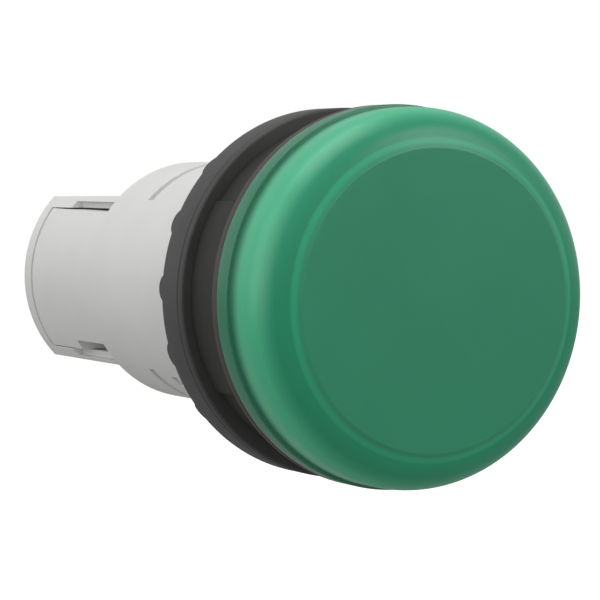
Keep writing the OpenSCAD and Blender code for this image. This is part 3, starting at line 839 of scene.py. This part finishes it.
class RingNutOperator(bpy.types.Operator):
    """Turns the ring nut and sets its grip nubs round its rear face"""

    bl_idname = "pilot_light.ring_nut"
    bl_label = "Ring Nut"

    def execute(self, context):
        size = context.scene.pilot_light_sizes
        colours = context.scene.pilot_light_colours
        # The same polyamide with less black in it: a dull dark grey that shows its rounded nubs
        material = moulded_plastic(
            "Dark grey polyamide, moulded", list(colours.nut), roughness=0.55, grain_size=0.12 * MM,
            grain_depth=0.006 * MM, variation=0.05, sheen=0.35,
        )
        soft = size.edge_softness
        outer, rear, hub = NUT_HIGH[0], size.nut_thickness, size.nut_bore + size.hub_width
        tip = rear + size.hub_height
        points = arc(outer - soft, -soft, soft, 90, 0, CORNER_STEPS)
        points += arc(outer - soft, soft - rear, soft, 0, -90, CORNER_STEPS)
        points += [(hub, -rear)]
        points += arc(hub - soft, soft - tip, soft, 0, -90, CORNER_STEPS)
        points += [(size.nut_bore, -tip), (size.nut_bore, 0)]
        body = turned(points, "ring_nut_body", material)
        nub_outer = size.nub_inner + size.nub_length
        nub = nub_mesh(size.nub_inner, nub_outer, rear, size.nub_width / 2, soft / 2)
        nubs = grow(ring_tree(), nub, "ring_nut_nubs", {
            "Count": size.nub_count, "First Angle": size.nub_phase, "Material": material,
        })
        place(joined([body, nubs], "ring_nut_whole"), "ring_nut", "dark_grey_plastic", "ring_nut")
        return {"FINISHED"}


class BarrelOperator(bpy.types.Operator):
    """Rounds the moulded edges of barrel and rear cover, and gives them their light grey"""

    bl_idname = "pilot_light.barrel"
    bl_label = "Barrel and Cover"

    def execute(self, context):
        size = context.scene.pilot_light_sizes
        colours = context.scene.pilot_light_colours
        # Polycarbonate blend from a spark-eroded mould: an even pale grey with a soft, dry sheen
        material = moulded_plastic(
            "Light grey polycarbonate, moulded", list(colours.barrel), roughness=0.5,
            grain_size=0.15 * MM, grain_depth=0.006 * MM, variation=0.025,
        )
        flat, seam = size.plate_height - size.cad_seam, size.plate_height - size.seam
        half_width = math.sqrt(BARREL_RADIUS ** 2 - seam ** 2)
        wall = BARREL_RADIUS - 0.02 * MM

        def close_seam(corner):
            """Brings the barrel's two flats up to the cover's plates, along the round wall."""
            if abs(abs(corner.z) - flat) > NEAR or corner.y < COVER_LOW[1]:
                return corner
            on_wall = math.hypot(corner.x, corner.z) > wall
            x = math.copysign(half_width, corner.x) if on_wall else corner.x
            return Vector((x, corner.y, math.copysign(seam, corner.z)))

        barrel = softened(
            "barrel", "barrel_shell", material, size.seam_softness, reshape=close_seam,
        )
        place(barrel, "housing", "light_grey_plastic", "barrel")
        cover = softened("rear_cover", "rear_cover_shell", material, size.seam_softness)
        place(cover, "housing", "light_grey_plastic", "rear_cover")
        return {"FINISHED"}


class LampOperator(bpy.types.Operator):
    """Finishes the lamp: nickel-plated cap, black glass insulator, solder tip and resin dome"""

    bl_idname = "pilot_light.lamp"
    bl_label = "Lamp"

    def execute(self, context):
        # Warm and bright where drawn, and dull and uneven where the solder set
        nickel = metal(
            "Nickel-plated brass, drawn", hex_colour("#c9c5bb"), roughness=0.25, scratch_size=0.1 * MM,
        )
        solder = metal(
            "Tin solder, cast", hex_colour("#b9bab9"), roughness=0.35, scratch_size=0.4 * MM,
        )
        # Glass run into the cap and left as it set: black, glossy and slightly wavy
        glass = moulded_plastic(
            "Black glass, fused", hex_colour("#151518"), roughness=0.15, grain_size=0.4 * MM,
            grain_depth=0.003 * MM, variation=0.1, ior=1.5,
        )
        pieces = [
            ("lamp_cap", nickel), ("lamp_tip", solder), ("lamp_insulator", glass),
            ("lamp_dome", diffused_resin()),
        ]
        for node, material in pieces:
            set_material(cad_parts[node], material)
        return {"FINISHED"}


class SocketOperator(bpy.types.Operator):
    """Finishes the lamp socket and winds its contact spring"""

    bl_idname = "pilot_light.socket"
    bl_label = "Socket"

    def execute(self, context):
        brass = metal(
            "Brass strip, rolled", hex_colour("#c8a45a"), roughness=0.3, scratch_size=0.12 * MM,
        )
        for node in ("socket_sleeve", "contact_plunger"):
            set_material(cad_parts[node], brass)
        set_material(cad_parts["socket_disc"], laminate())
        wire = 0.15 * MM
        coil = SPRING_HIGH[0] - wire
        rest = SPRING_HIGH[1] - SPRING_LOW[1]
        rise = rest - 2 * wire
        steel = metal(
            "Stainless spring wire, drawn", hex_colour("#b4b4b2"), roughness=0.28,
            scratch_size=0.05 * MM,
        )
        outline = outline_mesh(arc(0, 0, wire, 0, 330, steps=11), closed=True)
        spring = grow(helix_tree(), outline, "contact_spring_wire", {
            "Radius": coil, "Turns": 4.0, "Rise": rise, "Steps": 32, "Material": steel,
        })
        spring.data.transform(Matrix.Translation((0, SPRING_LOW[1] + wire, 0)))
        tidy_normals(spring.data)
        shade(spring)
        place(spring, "housing", "spring_steel", "contact_spring")
        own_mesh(spring)
        return {"FINISHED"}


class TerminalsOperator(bpy.types.Operator):
    """Finishes the terminal bars, saddles and screws"""

    bl_idname = "pilot_light.terminals"
    bl_label = "Terminals"

    def execute(self, context):
        brass = metal(
            "Brass strip, rolled and cut", hex_colour("#c8a45a"), roughness=0.32,
            scratch_size=0.12 * MM,
        )
        zinc = metal(
            "Zinc-plated steel", hex_colour("#c2c4c4"), roughness=0.3, scratch_size=0.1 * MM,
        )
        for side in ("left", "right"):
            set_material(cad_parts["terminal_" + side], brass)
            set_material(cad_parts["saddle_" + side], zinc)
            screw = threaded_screw(context.scene.pilot_light_sizes, side, zinc)
            place(screw, "screw_" + side, "plated_steel", "terminal_screw_" + side)
        return {"FINISHED"}


class StageOperator(bpy.types.Operator):
    """Sets the pale floor, the soft lights, the world and the camera"""

    bl_idname = "pilot_light.stage"
    bl_label = "Stage"

    def execute(self, context):
        scene = context.scene
        scene.view_settings.view_transform = "Standard"
        add_floor(scene)
        add_world(scene)
        add_lights(scene)
        add_camera(scene)
        return {"FINISHED"}


# ---- panel and registration ----


OPERATORS = (
    LensOperator, SealsOperator, CollarOperator, RingNutOperator, BarrelOperator, LampOperator,
    SocketOperator, TerminalsOperator, StageOperator,
)


class PilotLightPanel(bpy.types.Panel):
    """Sizes, colours and steps of the pilot light"""

    bl_idname = "VIEW3D_PT_pilot_light"
    bl_label = "Pilot Light"
    bl_space_type = "VIEW_3D"
    bl_region_type = "UI"
    bl_category = "Pilot Light"

    def draw(self, context):
        for group in (context.scene.pilot_light_sizes, context.scene.pilot_light_colours):
            for name in group.__annotations__:
                self.layout.prop(group, name)
        for operator in OPERATORS:
            self.layout.operator(operator.bl_idname)


CLASSES = (PilotLightSizes, PilotLightColours, *OPERATORS, PilotLightPanel)


def register():
    """Adds the classes to Blender, and the sizes and colours to its scenes."""
    for item in CLASSES:
        bpy.utils.register_class(item)
    bpy.types.Scene.pilot_light_sizes = PointerProperty(type=PilotLightSizes)
    bpy.types.Scene.pilot_light_colours = PointerProperty(type=PilotLightColours)


def unregister():
    """Takes them out again."""
    del bpy.types.Scene.pilot_light_colours
    del bpy.types.Scene.pilot_light_sizes
    for item in reversed(CLASSES):
        bpy.utils.unregister_class(item)


def main():
    """Builds everything."""
    register()
    for operator in OPERATORS:
        group, name = operator.bl_idname.split(".")
        getattr(getattr(bpy.ops, group), name)()


if __name__ == "__main__":
    main()
